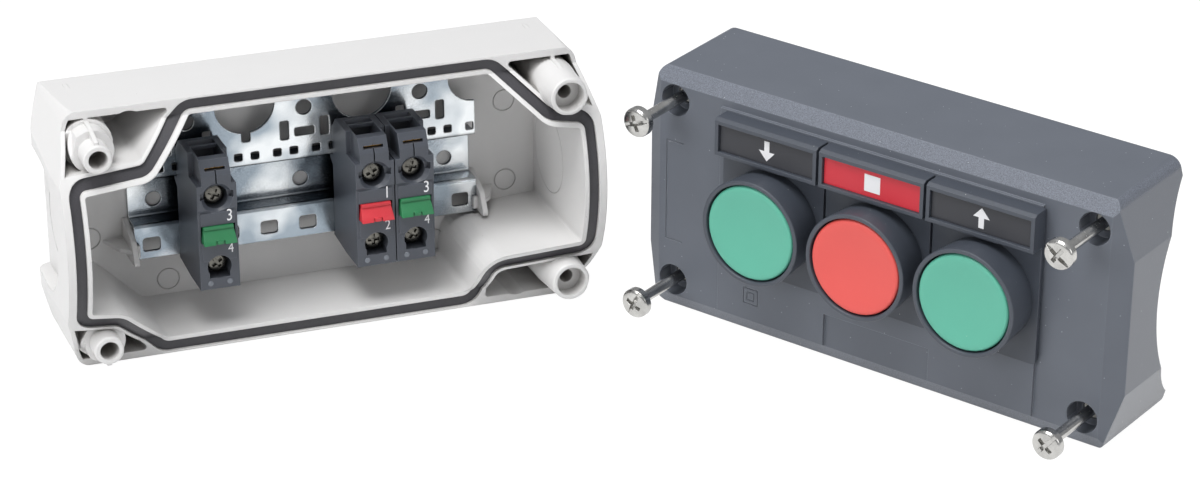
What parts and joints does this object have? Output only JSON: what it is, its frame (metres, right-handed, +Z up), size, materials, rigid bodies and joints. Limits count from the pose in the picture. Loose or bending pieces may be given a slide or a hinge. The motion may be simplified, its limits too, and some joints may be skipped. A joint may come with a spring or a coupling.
{
  "type": "pushbutton control station",
  "caption": "Open pushbutton control station: a wall box with contact blocks and its cover with sprung buttons and captive screws.",
  "frame": {"origin": "middle of the base's lower long wall, which the base stands on, with its opening towards -Y", "axes": "+X along the base's length to the right, +Y towards the base's back, +Z up; the cover stands beside it at +X"},
  "size_m": [0.2526, 0.1637, 0.0682],
  "materials": {
    "light_grey_plastic": "fine moulded grain",
    "black_rubber": "soft, matte",
    "zinc_steel": "bright zinc plating",
    "block_plastic": "smooth moulded",
    "zinc_screws": "zinc-plated",
    "brass": "plain",
    "plunger_green": "smooth",
    "plunger_red": "smooth",
    "spring_steel": "drawn wire",
    "cover_plastic": "fine moulded grain, coarser on the chamfers",
    "retainer_plastic": "smooth",
    "bezel_plastic": "smooth moulded",
    "cap_green": "satin",
    "cap_red": "satin",
    "nut_plastic": "smooth",
    "label_red": "printed insert",
    "label_black": "printed insert"
  },
  "bodies": {
    "base": {"enclosure_base": "light_grey_plastic", "base_gasket": "black_rubber", "mounting_plate": "zinc_steel", "contact_block_1": "block_plastic", "contact_block_2": "block_plastic", "contact_block_3": "block_plastic", "terminal_screws_1": "zinc_screws", "terminal_screws_2": "zinc_screws", "terminal_screws_3": "zinc_screws", "terminal_clamps_1": "brass", "terminal_clamps_2": "brass", "terminal_clamps_3": "brass"},
    "cover": {"enclosure_cover": "cover_plastic", "screw_retainers": "retainer_plastic", "bezel_1": "bezel_plastic", "bezel_2": "bezel_plastic", "bezel_3": "bezel_plastic", "button_seal_1": "black_rubber", "button_seal_2": "black_rubber", "button_seal_3": "black_rubber", "fixing_nut_1": "nut_plastic", "fixing_nut_2": "nut_plastic", "fixing_nut_3": "nut_plastic", "legend_holder_1": "bezel_plastic", "legend_holder_2": "bezel_plastic", "legend_holder_3": "bezel_plastic", "legend_label_1": "label_black", "legend_label_2": "label_red", "legend_label_3": "label_black"},
    "plunger_body_1": {"plunger_1": "plunger_green", "contact_bridge_1": "brass", "plunger_spring_1": "spring_steel"},
    "plunger_body_2": {"plunger_2": "plunger_red", "contact_bridge_2": "brass", "plunger_spring_2": "spring_steel"},
    "plunger_body_3": {"plunger_3": "plunger_green", "contact_bridge_3": "brass", "plunger_spring_3": "spring_steel"},
    "button_body_1": {"button_cap_1": "cap_green", "button_spring_1": "spring_steel"},
    "button_body_2": {"button_cap_2": "cap_red", "button_spring_2": "spring_steel"},
    "button_body_3": {"button_cap_3": "cap_green", "button_spring_3": "spring_steel"},
    "screw_body_1": {"cover_screw_1": "zinc_screws"},
    "screw_body_2": {"cover_screw_2": "zinc_screws"},
    "screw_body_3": {"cover_screw_3": "zinc_screws"},
    "screw_body_4": {"cover_screw_4": "zinc_screws"}
  },
  "joints": [
    {"name": "cover_lift", "type": "slide", "parent": "base", "child": "cover", "axis": [0, 0, 1], "range_m": [0, 0.1]},
    {"name": "plunger_1_press", "type": "slide", "parent": "base", "child": "plunger_body_1", "axis": [0, 0.9986, -0.052], "range_m": [0, 0.0025], "stiffness_N_per_m": 600, "springref_m": -0.0015, "deforming": ["plunger_spring_1"]},
    {"name": "plunger_2_press", "type": "slide", "parent": "base", "child": "plunger_body_2", "axis": [0, 0.9986, -0.052], "range_m": [0, 0.0025], "stiffness_N_per_m": 600, "springref_m": -0.0015, "deforming": ["plunger_spring_2"]},
    {"name": "plunger_3_press", "type": "slide", "parent": "base", "child": "plunger_body_3", "axis": [0, 0.9986, -0.052], "range_m": [0, 0.0025], "stiffness_N_per_m": 600, "springref_m": -0.0015, "deforming": ["plunger_spring_3"]},
    {"name": "button_1_press", "type": "slide", "parent": "cover", "child": "button_body_1", "axis": [0.8348, 0.5504, 0.0141], "range_m": [0, 0.004], "stiffness_N_per_m": 500, "springref_m": -0.003, "deforming": ["button_spring_1"]},
    {"name": "button_2_press", "type": "slide", "parent": "cover", "child": "button_body_2", "axis": [0.8348, 0.5504, 0.0141], "range_m": [0, 0.004], "stiffness_N_per_m": 500, "springref_m": -0.003, "deforming": ["button_spring_2"]},
    {"name": "button_3_press", "type": "slide", "parent": "cover", "child": "button_body_3", "axis": [0.8348, 0.5504, 0.0141], "range_m": [0, 0.004], "stiffness_N_per_m": 500, "springref_m": -0.003, "deforming": ["button_spring_3"]},
    {"name": "cover_screw_1_in", "type": "slide", "parent": "cover", "child": "screw_body_1", "axis": [0.8348, 0.5504, 0.0141], "range_m": [0, 0.0198]},
    {"name": "cover_screw_2_in", "type": "slide", "parent": "cover", "child": "screw_body_2", "axis": [0.8348, 0.5504, 0.0141], "range_m": [0, 0.0198]},
    {"name": "cover_screw_3_in", "type": "slide", "parent": "cover", "child": "screw_body_3", "axis": [0.8348, 0.5504, 0.0141], "range_m": [0, 0.0198]},
    {"name": "cover_screw_4_in", "type": "slide", "parent": "cover", "child": "screw_body_4", "axis": [0.8348, 0.5504, 0.0141], "range_m": [0, 0.0198]}
  ]
}
